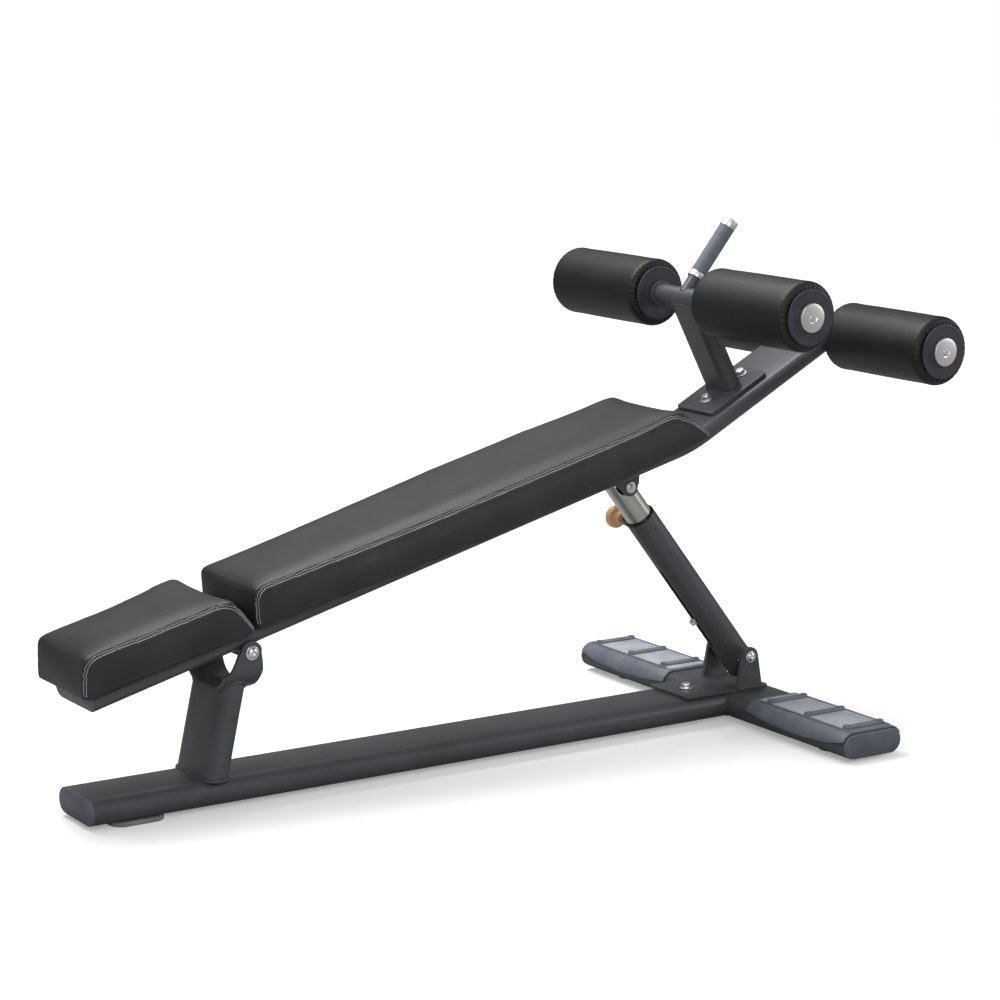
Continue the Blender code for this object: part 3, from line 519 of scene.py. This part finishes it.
# ---------------------------------------------------------------------------------------------
# Strut head: two welded ears and a clevis pin with a washer and a shouldered end.
# ---------------------------------------------------------------------------------------------
bm = bmesh.new()
ear_face = 0.0443
spun(bm, [(0.0, 0.0), *arc(0.0102, 0.0010, 0.0010, -90, 90, 6), (0.0056, 0.0020), (0.0056, 0.0070),
          *arc(0.0046, 0.0070, 0.0010, 0, 90, 4), (0.0, 0.0080)], strut_head - side_way * ear_face, -side_way)
spun(bm, [(0.0, 0.0), *arc(0.0092, 0.0010, 0.0010, -90, 90, 6), (0.0, 0.0022)],
     strut_head + side_way * ear_face, side_way)
spun(bm, [(0.0, 0.0), (0.0065, 0.0), (0.0065, 2 * ear_face), (0.0, 2 * ear_face)],
     strut_head - side_way * ear_face, side_way, 32)
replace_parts(finished("strut_head_pin_finished", bm, zinc, "seat", 35), "strut_head_pin")

# ---------------------------------------------------------------------------------------------
# Roller upright: flat oval tube welded on a plate, with two bolts down into the pad beam.
# ---------------------------------------------------------------------------------------------
seat_rear = Vector((-0.8465, 0.0, 0.2310))
seat_run = Vector((math.cos(math.radians(14.8)), 0, math.sin(math.radians(14.8))))
seat_rise = Vector((-seat_run.z, 0, seat_run.x))
seat_corner = seat_rear + seat_run * 1.3358
upper_run = Vector((math.cos(math.radians(28.1)), 0, math.sin(math.radians(28.1))))
upper_rise = Vector((-upper_run.z, 0, upper_run.x))
plate_face = 0.0256

for station, word in ((0.1092, "rear"), (0.2044, "front")):
    bm = bmesh.new()
    seat = seat_corner + upper_run * station + upper_rise * plate_face
    hex_head(bm, seat, upper_rise, 0.0100)
    spun(bm, [(0.0, 0.0), (0.0058, 0.0), (0.0058, -0.0078), (0.0, -0.0078)], seat, upper_rise, 20)
    bolt = finished("upright_bolt_finished_" + word, bm, zinc, "seat", 32)
    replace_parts(bolt, "upright_bolt_" + word)
foot_centre = seat_corner + upper_run * 0.1568 + upper_rise * plate_face
foot_loop = [foot_centre + side_way * across + upper_run * depth
             for across, depth in flat_oval(0.0905, 0.0385)]
weld("weld_upright_foot", foot_loop, 0.0030, "seat")

upper_roller = Vector((0.4734, 0.0, 0.8518))
lower_roller = Vector((0.8060, 0.0, 0.7658))
head_loop = []
for across, depth in flat_oval(0.0905, 0.0385):
    drop = math.sqrt(max(0.0, 0.0200 ** 2 - min(abs(depth), 0.0199) ** 2))
    head_loop.append(upper_roller + side_way * across + upper_run * depth - upper_rise * (drop + 0.0005))
weld("weld_upright_head", head_loop, 0.0022, "seat")

# ---------------------------------------------------------------------------------------------
# Handle: tube welded to the upper cross tube, foam rubber grip between two turned steel rings.
# ---------------------------------------------------------------------------------------------
handle_way = Vector((math.cos(math.radians(51.3)), 0, math.sin(math.radians(51.3))))
handle_foot = Vector((0.4700, 0.0, 0.8600))
# turned and left satin: the tool's fine rings, 0.3 mm apart, spread each highlight round the axis
turned_steel, tree, shader, place = new_material("steel_turned_satin", "#e6e5e3", 0.42, 1.0)
ring = add(tree, "ShaderNodeAttribute", attribute_name="ring")
rings = add(tree, "ShaderNodeTexNoise", {"Scale": 3300.0, "Detail": 2.0}, {"W": ring.outputs["Fac"]},
            noise_dimensions="1D")
spread = add(tree, "ShaderNodeMapRange", {"To Min": 0.38, "To Max": 0.50}, {"Value": rings.outputs["Fac"]})
tree.links.new(spread.outputs["Result"], shader.inputs["Roughness"])
bumped(tree, shader, rings.outputs["Fac"], 0.10, 0.0002)

grip_rubber, tree, shader, place = new_material("foam_rubber_grip_slate", "#666a76", 0.72)
mottled(tree, shader, place, "#626671", "#6c707c", 70.0, (0.66, 0.82))
cells = add(tree, "ShaderNodeTexVoronoi", {"Scale": 1400.0}, {"Vector": place})
bumped(tree, shader, cells.outputs["Distance"], 0.4, 0.0004)

bm = bmesh.new()
spun(bm, [(0.0136, 0.0361), (0.0158, 0.0361), *arc(0.0158, 0.0367, 0.0006, -90, 0, 3),
          *arc(0.0158, 0.0472, 0.0006, 0, 90, 3), (0.0136, 0.0478), (0.0136, 0.0361)],
     handle_foot, handle_way)
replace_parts(finished("handle_ring_finished", bm, turned_steel, "seat", 24), "handle_ring")
bm = bmesh.new()
spun(bm, [(0.0136, 0.0481), (0.0147, 0.0481), *arc(0.0147, 0.0491, 0.0010, -90, 0, 4),
          *[(0.0157 + 0.00012 * math.sin(i * 1.3), 0.0491 + 0.1068 * i / 24) for i in range(1, 24)],
          *arc(0.0147, 0.1565, 0.0010, 0, 90, 4), (0.0136, 0.1575), (0.0136, 0.0481)],
     handle_foot, handle_way)
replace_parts(finished("handle_grip_finished", bm, grip_rubber, "seat", 50), "handle_grip")
bm = bmesh.new()
spun(bm, [(0.0, 0.140), (0.0104, 0.140), (0.0104, 0.1578), (0.0154, 0.1578),
          *arc(0.0154, 0.1584, 0.0006, -90, 0, 3), *arc(0.0148, 0.1741, 0.0012, 0, 90, 5),
          (0.0110, 0.1753), (0.0104, 0.1746), (0.0, 0.1746)], handle_foot, handle_way)
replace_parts(finished("handle_cap_finished", bm, turned_steel, "seat", 24), "handle_cap")

# ---------------------------------------------------------------------------------------------
# Leg rollers: foam on a plastic bush at each end, in a leatherette sleeve whose ends are gathered on
# elastic round the bush flanges. A turned steel cap, screwed into the cross tube, keeps each one on.
# ---------------------------------------------------------------------------------------------


def leatherette(name, dark, light):
    """PU leatherette: embossed hide grain of 1.3 mm, satin, a little glossier on the grain's crowns."""
    made, tree, shader, place = new_material(name, light, 0.42, Coat_Weight=0.05, Coat_Roughness=0.25,
                                             Specular_IOR_Level=0.34)
    mottled(tree, shader, place, dark, light, 14.0, (0.38, 0.48))
    warp = add(tree, "ShaderNodeTexNoise", {"Scale": 400.0, "Detail": 1.0}, {"Vector": place})
    bent = add(tree, "ShaderNodeVectorMath", {"Scale": 0.0011}, {0: warp.outputs["Color"]}, operation="SCALE")
    moved = add(tree, "ShaderNodeVectorMath", None, {0: place, 1: bent.outputs["Vector"]}, operation="ADD")
    hide = add(tree, "ShaderNodeTexVoronoi", {"Scale": 760.0}, {"Vector": moved.outputs["Vector"]},
               feature="DISTANCE_TO_EDGE")
    crowned = add(tree, "ShaderNodeMapRange", {"From Max": 0.18}, {"Value": hide.outputs["Distance"]},
                  interpolation_type="SMOOTHSTEP")
    bumped(tree, shader, crowned.outputs["Result"], 0.35, 0.00035)
    return made


roller_cover = leatherette("leatherette_black_roller", "#151516", "#1b1b1c")
bush_plastic = moulded("polypropylene_ink_moulded", "#33333d", "#3b3b46", (0.34, 0.46))
roller_radius = 0.067
sleeve_start, sleeve_end = 0.093, 0.373
flange_radius = 0.053

for row, axis in (("upper", upper_roller), ("lower", lower_roller)):
    for side, word in ((-1, "near"), (1, "far")):
        label = row + "_" + word + "_roller"
        out = side_way * side
        bend = 0.0135
        bm = bmesh.new()
        inner = arc(roller_radius - bend, sleeve_start + bend + 0.0005, bend, -90, 0, 9)
        outer = arc(roller_radius - bend, sleeve_end - bend - 0.0005, bend, 0, 90, 9)
        barrel = []
        for i in range(1, 12):
            share = i / 12
            height = inner[-1][1] + (outer[0][1] - inner[-1][1]) * share
            barrel.append((roller_radius - 0.0007 * (2 * share - 1) ** 2, height))
        profile = [(0.0266, sleeve_start + 0.0010), (0.040, sleeve_start + 0.0004), *inner, *barrel,
                   *outer, (0.040, sleeve_end - 0.0004), (0.0266, sleeve_end - 0.0010),
                   (0.0266, sleeve_start + 0.0010)]
        spun(bm, profile, axis, out, 216)
        phase = {"upper": 0.4, "lower": 1.9}[row] + side
        for vert in bm.verts:
            height = (vert.co - axis).dot(out)
            spoke = vert.co - axis - out * height
            depth = min(height - sleeve_start, sleeve_end - height)
            ring = spoke.length
            if depth > 0.016 or ring < 0.045:
                continue
            turn = math.atan2(spoke.x, spoke.z)
            wander = noise.noise(Vector((math.cos(turn) * 2.0, math.sin(turn) * 2.0, phase)))
            pleat = math.sin(turn * 38 + wander * 5.0 + phase * 3)
            fold = max(0.0, pleat) ** 1.5
            near_flange = math.exp(-((ring - 0.0545) / 0.0048) ** 2)
            shoulder = math.exp(-((depth - 0.004) / 0.006) ** 2)
            size = (0.0022 + 0.0012 * wander) * max(near_flange, 0.35 * shoulder)
            outward = 1.0 if height > (sleeve_start + sleeve_end) / 2 else -1.0
            vert.co += (-out * outward * fold - spoke.normalized() * 0.5 * fold) * size
        sleeve = finished(label + "_sleeve", bm, roller_cover, label, 60)
        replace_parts(sleeve, label + "_foam")

        for end, way, word_end in ((sleeve_start, -1, "inner"), (sleeve_end, 1, "outer")):
            bm = bmesh.new()
            rim_at = 0.0040
            spun(bm, [(0.0194, -0.025), (0.0256, -0.025), (0.0256, 0.0006),
                      (flange_radius - 0.0015, 0.0006),
                      *arc(flange_radius - 0.0014, rim_at - 0.0012, 0.0014, -60, 90, 6),
                      (flange_radius - 0.0040, rim_at + 0.0002), (flange_radius - 0.0048, rim_at - 0.0006),
                      (0.0300, rim_at - 0.0006), (0.0292, rim_at + 0.0004), (0.0194, rim_at + 0.0004),
                      (0.0194, -0.025)], axis + out * end, out * way, 96)
            node = label + "_" + word_end + "_bush"
            piece = finished(node + "_finished", bm, bush_plastic, label, 35)
            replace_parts(piece, node)
        bm = bmesh.new()
        spun(bm, [(0.0, -0.012), (0.0157, -0.012), (0.0157, 0.0052), (0.0268, 0.0052),
                  *arc(0.0265, 0.0060, 0.0008, -90, 0, 4), *arc(0.0259, 0.0098, 0.0014, 0, 80, 5),
                  (0.0200, 0.0117), (0.0130, 0.0121), (0.0106, 0.0122), (0.0100, 0.0119), (0.0076, 0.0102),
                  (0.0, 0.0102)], axis + out * sleeve_end, out, 96)
        screw = axis + out * (sleeve_end + 0.0101)
        spun(bm, [(0.0, 0.0), (0.0066, 0.0), (0.0066, 0.0022), *arc(0.0058, 0.0022, 0.0008, 0, 90, 4),
                  (0.0036, 0.0030), (0.0033, 0.0012), (0.0, 0.0010)], screw, out, 36)
        cap = finished(label + "_cap_finished", bm, turned_steel, "seat", 20)
        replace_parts(cap, label + "_cap")

# a collar is welded on the upper cross tube against each inner bush
for row, axis in (("upper", upper_roller), ("lower", lower_roller)):
    for side, word in ((-1, "near"), (1, "far")):
        bm = bmesh.new()
        spun(bm, [(0.0192, 0.0), (0.0235, 0.0), *arc(0.0235, 0.0008, 0.0008, -90, 0, 3),
                  *arc(0.0235, 0.0058, 0.0008, 0, 90, 3), (0.0192, 0.0066), (0.0192, 0.0)],
             axis + side_way * side * 0.0814, side_way * side, 48)
        finished("collar_" + row + "_" + word, bm, powder_coat, "seat", 45)

# ---------------------------------------------------------------------------------------------
# Pads: foam on a plywood board, in a sewn leatherette cover. One strip runs over the rear face, the
# top and the front; a panel closes each side. Both sides of each seam are topstitched in pale thread.
# ---------------------------------------------------------------------------------------------
pad_cover = leatherette("leatherette_black_pad", "#2b2a2d", "#323135")
plywood, tree, shader, place = new_material("plywood_birch_raw", "#a98b64", 0.7)
mottled(tree, shader, place, "#9c7e58", "#b49871", 30.0, (0.65, 0.8))
edge_broken("head_pad_board", 0.0010, plywood)
edge_broken("back_pad_board", 0.0010, plywood)
thread, tree, shader, place = new_material("thread_polyester_pale_grey", "#f0efec", 0.6)
mottled(tree, shader, place, "#e9e8e5", "#f6f5f2", 900.0, (0.55, 0.7))

pad_bottom, pad_top = 0.0176, 0.0945
level = Matrix((seat_run, side_way, seat_rise)).transposed().to_4x4()
level = Matrix.Translation(seat_rear) @ level
unlevel = level.inverted()


def stuffed(node, name, swell):
    """The cover of one pad: the solid's shape, blown up from inside by its foam, held at the board."""
    bm = copied(node)
    bmesh.ops.transform(bm, matrix=unlevel, verts=bm.verts)
    mesh = bpy.data.meshes.new(name)
    bm.to_mesh(mesh)
    bm.free()
    piece = bpy.data.objects.new(name, mesh)
    bpy.context.scene.collection.objects.link(piece)
    remesh = piece.modifiers.new("remesh", "REMESH")
    remesh.mode = "VOXEL"
    remesh.voxel_size = 0.0045
    depsgraph = bpy.context.evaluated_depsgraph_get()
    even = bpy.data.meshes.new_from_object(piece.evaluated_get(depsgraph))
    piece.modifiers.clear()
    piece.data = even
    bm = bmesh.new()
    bm.from_mesh(even)
    held = pad_bottom + 0.013
    bm.normal_update()
    for vert in bm.verts:
        if vert.co.z > held:
            vert.co -= vert.normal * (0.12 * swell * min(1.0, (vert.co.z - held) / 0.02))
    bm.to_mesh(even)
    rest = np.array([v.co for v in bm.verts])
    pairs = np.array([[v.index for v in e.verts] for e in bm.edges])
    bm.free()
    group = piece.vertex_groups.new(name="held")
    group.add([i for i, co in enumerate(rest) if co[2] <= held], 1.0, "REPLACE")
    cloth = piece.modifiers.new("cloth", "CLOTH")
    cloth.settings.quality = 5
    cloth.settings.mass = 0.35
    cloth.settings.tension_stiffness = 25
    cloth.settings.compression_stiffness = 25
    cloth.settings.shear_stiffness = 12
    cloth.settings.bending_stiffness = 4
    cloth.settings.use_pressure = True
    cloth.settings.uniform_pressure_force = 4
    cloth.settings.effector_weights.gravity = 0
    cloth.settings.vertex_group_mass = "held"
    cloth.collision_settings.use_collision = False
    scene = bpy.context.scene
    for step in range(1, 16):
        scene.frame_set(step)
    depsgraph = bpy.context.evaluated_depsgraph_get()
    blown = np.array([v.co for v in piece.evaluated_get(depsgraph).data.vertices])
    piece.modifiers.clear()
    piece.vertex_groups.clear()
    scene.frame_set(1)
    # the foam evens the swelling out, so a point moves with its neighbours and never past the cap
    shift = blown - rest
    length = np.linalg.norm(shift, axis=1, keepdims=True)
    shift *= np.minimum(1.0, swell / np.maximum(length, 1e-9))
    count = np.bincount(pairs.ravel(), minlength=len(rest)).reshape(-1, 1)
    for _ in range(40):
        total = np.zeros_like(shift)
        np.add.at(total, pairs[:, 0], shift[pairs[:, 1]])
        np.add.at(total, pairs[:, 1], shift[pairs[:, 0]])
        shift = 0.5 * shift + 0.5 * total / count
        shift[rest[:, 2] <= held] = 0.0
    even.vertices.foreach_set("co", (rest + shift).ravel())
    return piece


def on_cover(tree, point, away):
    """The point of the cover nearest to a point just outside it, with the cover's normal there."""
    spot, normal, _, _ = tree.find_nearest(point + away)
    return spot, normal


def seam_path(plan, rear, front, side):
    """The seam of one side panel: up the rear corner, along the top edge, down the front corner."""
    stations = [along for along, low, high in plan]
    start, end = stations[0], stations[-1]
    low, high = pad_bottom + 0.004, pad_top - 0.012

    def corner(station, reach, height, away):
        share = (height - pad_bottom) / (pad_top - pad_bottom)
        half = station[1] + (station[2] - station[1]) * share
        along = station[0] + reach[0] + (reach[1] - reach[0]) * share
        return Vector((along, side * half, height)), Vector((away, side * 0.034, 0.0))

    heights = [low + (high - low) * i / 8 for i in range(9)]
    path = [corner(plan[0], rear, height, -0.030) for height in heights]
    first, last = start + rear[1] + 0.010, end + front[1] - 0.020
    for i in range(41):
        along = first + (last - first) * i / 40
        half = np.interp(along, stations, [top for _, _, top in plan])
        path.append((Vector((along, side * half, pad_top - 0.003)), Vector((0.0, side * 0.040, 0.034))))
    return path + [corner(plan[-1], front, height, 0.030) for height in heights[::-1]]


def evened(track, passes):
    """Smooths a path, with its two ends kept."""
    for _ in range(passes):
        inner = [(a + b * 2 + c) / 4 for a, b, c in zip(track, track[1:], track[2:])]
        track = [track[0], *inner, track[-1]]
    return track


def sewn(piece, name, sides, body):
    """Pulls the cover in along its seams, then lays a row of stitches on both sides of each."""
    bm = bmesh.new()
    bm.from_mesh(piece.data)
    bmesh.ops.subdivide_edges(bm, edges=bm.edges, cuts=1, use_grid_fill=True, smooth=0.0)
    for _ in range(3):
        bmesh.ops.smooth_vert(bm, verts=[v for v in bm.verts if v.co.z > pad_bottom + 0.004], factor=0.5,
                              use_axis_x=True, use_axis_y=True, use_axis_z=True)
    bm.normal_update()
    cover = BVHTree.FromBMesh(bm)
    seams = []
    for side in sides:
        spots = [on_cover(cover, point, away)[0] for point, away in side]
        spots = evened(resampled(spots, 0.004, False), 10)
        track = [on_cover(cover, spot, Vector())[0] for spot in resampled(spots, 0.002, False)]
        seams.append(evened(track, 8))
    lookup = KDTree(sum(len(seam) for seam in seams))
    number = 0
    for seam in seams:
        for spot in seam:
            lookup.insert(spot, number)
            number += 1
    lookup.balance()
    for vert in bm.verts:
        gap = lookup.find(vert.co)[2]
        if gap < 0.014:
            crease = 0.0017 * math.exp(-(gap / 0.0022) ** 2)
            ridge = 0.0006 * math.exp(-((gap - 0.006) / 0.0035) ** 2)
            vert.co -= vert.normal * (crease - ridge)
    bm.normal_update()
    cover = BVHTree.FromBMesh(bm)
    bm.to_mesh(piece.data)
    bm.free()

    stitches = bmesh.new()
    pitch, offset = 0.0044, 0.0027
    for seam in seams:
        track = resampled(seam, pitch, False)
        for row in (-1, 1):
            bm = bmesh.new()
            for here, there in zip(track, track[1:]):
                middle = (here + there) / 2
                spot, normal = on_cover(cover, middle, Vector())
                ahead = (there - here).normalized()
                spot, normal = on_cover(cover, spot + normal.cross(ahead) * (row * offset), Vector())
                across = normal.cross(ahead).normalized()
                turn = Matrix((ahead, across, normal)).transposed().to_4x4()
                size = Matrix.Diagonal((0.0017, 0.00062, 0.00050, 1))
                bmesh.ops.create_icosphere(bm, subdivisions=1, radius=1.0,
                                           matrix=Matrix.Translation(spot + normal * 0.00022) @ turn @ size)
            part = bpy.data.meshes.new("row")
            bm.to_mesh(part)
            bm.free()
            stitches.from_mesh(part)
            bpy.data.meshes.remove(part)
    bmesh.ops.transform(stitches, matrix=level, verts=stitches.verts)
    finished(name + "_stitching", stitches, thread, body, 80)
    piece.data.transform(level)
    piece.data.shade_smooth()
    piece.data.materials.clear()
    piece.data.materials.append(pad_cover)
    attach(piece, body)
    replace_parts(piece, name)


head_plan = ((-0.013, 0.097, 0.100), (0.160, 0.104, 0.107), (0.314, 0.114, 0.116))
back_plan = ((0.334, 0.107, 0.108), (0.600, 0.130, 0.121), (0.850, 0.142, 0.131),
             (1.080, 0.143, 0.131), (1.308, 0.126, 0.116))
for node, plan, rear, front in (("head_pad", head_plan, (-0.0098, 0.0105), (0.0080, -0.0257)),
                                ("back_pad", back_plan, (-0.0113, 0.0003), (0.0440, -0.0140))):
    cover_piece = stuffed(node, node + "_cover", 0.0055)
    sewn(cover_piece, node, [seam_path(plan, rear, front, side) for side in (-1, 1)], "seat")

# ---------------------------------------------------------------------------------------------
# Camera, floor and studio light.
# ---------------------------------------------------------------------------------------------
camera = bpy.data.objects.new("camera", bpy.data.cameras.new("camera"))
bpy.context.scene.collection.objects.link(camera)
view_right = Vector((0.8337, -0.5522, 0.0077)).normalized()
view_back = -Vector((0.5438, 0.8183, -0.1862)).normalized()
view_up = view_back.cross(view_right).normalized()
turn = Matrix((view_right, view_up, view_back)).transposed().to_4x4()
camera.matrix_world = Matrix.Translation((-2.8233, -4.3082, 1.4718)) @ turn
camera.data.lens = 100.1
camera.data.sensor_width = 36.0
camera.data.clip_end = 60.0
bpy.context.scene.camera = camera

floor_bm = bmesh.new()
bmesh.ops.create_grid(floor_bm, x_segments=1, y_segments=1, size=14.0)
floor_mesh = bpy.data.meshes.new("floor")
floor_bm.to_mesh(floor_mesh)
floor_bm.free()
floor = bpy.data.objects.new("floor", floor_mesh)
bpy.context.scene.collection.objects.link(floor)
# matt white floor paint, rolled on: its roughness wanders a little from place to place
floor_paint, tree, shader, place = new_material("floor_paint_matt_white", "#f4f4f3", 0.75)
mottled(tree, shader, place, "#f1f1f0", "#f6f6f5", 1.5, (0.7, 0.8))
# camera rays see the floor glow, at 0.30 near the bench rising to full white away from it, so it fades into
# the wall's white: a painted glow, which also lightens the shadows round the bench
away = add(tree, "ShaderNodeVectorMath", None, {0: place}, operation="LENGTH")
white = add(tree, "ShaderNodeMapRange", {"From Min": 0.9, "From Max": 3.2, "To Min": 0.30, "To Max": 1.0},
            {"Value": away.outputs["Value"]}, interpolation_type="SMOOTHSTEP")
rays = add(tree, "ShaderNodeLightPath").outputs["Is Camera Ray"]
paint = shader.inputs["Base Color"].links[0].from_socket
grey = add(tree, "ShaderNodeMapRange", {"To Min": 0.40, "To Max": 1.0}, {"Value": rays})
dimmed = add(tree, "ShaderNodeVectorMath", None, {0: paint, "Scale": grey.outputs["Result"]},
             operation="SCALE")
tree.links.new(dimmed.outputs["Vector"], shader.inputs["Base Color"])
glow = add(tree, "ShaderNodeMath", None, {0: white.outputs["Result"], 1: rays}, operation="MULTIPLY")
shader.inputs["Emission Color"].default_value = (1.0, 1.0, 1.0, 1.0)
tree.links.new(glow.outputs["Value"], shader.inputs["Emission Strength"])
floor_mesh.materials.append(floor_paint)

bpy.context.scene.view_settings.view_transform = "Standard"
world = bpy.data.worlds.new("studio")
world.use_nodes = True
tree = world.node_tree
rays = add(tree, "ShaderNodeLightPath").outputs["Is Camera Ray"]
wall = add(tree, "ShaderNodeMapRange", {"To Min": 0.22, "To Max": 1.0}, {"Value": rays})
tree.nodes["Background"].inputs["Color"].default_value = (1.0, 1.0, 1.0, 1.0)
tree.links.new(wall.outputs["Result"], tree.nodes["Background"].inputs["Strength"])
bpy.context.scene.world = world


def softbox(name, position, target, size, power):
    """A square studio softbox that faces the bench."""
    lamp = bpy.data.lights.new(name, "AREA")
    lamp.shape = "RECTANGLE"
    lamp.size, lamp.size_y = size
    lamp.energy = power
    holder = bpy.data.objects.new(name, lamp)
    holder.location = position
    holder.rotation_euler = (Vector(target) - Vector(position)).to_track_quat("-Z", "Y").to_euler()
    bpy.context.scene.collection.objects.link(holder)


softbox("overhead_softbox", (-0.3, 0.9, 3.3), (0, 0, 0.4), (3.0, 2.0), 132)
softbox("key_softbox", (-1.4, -3.6, 2.2), (0, 0, 0.4), (1.6, 1.8), 56)
softbox("side_softbox", (-3.6, 0.2, 1.6), (0, 0, 0.4), (1.6, 1.6), 9)
softbox("fill_softbox", (3.4, -1.8, 1.8), (0, 0, 0.4), (1.4, 1.8), 34)
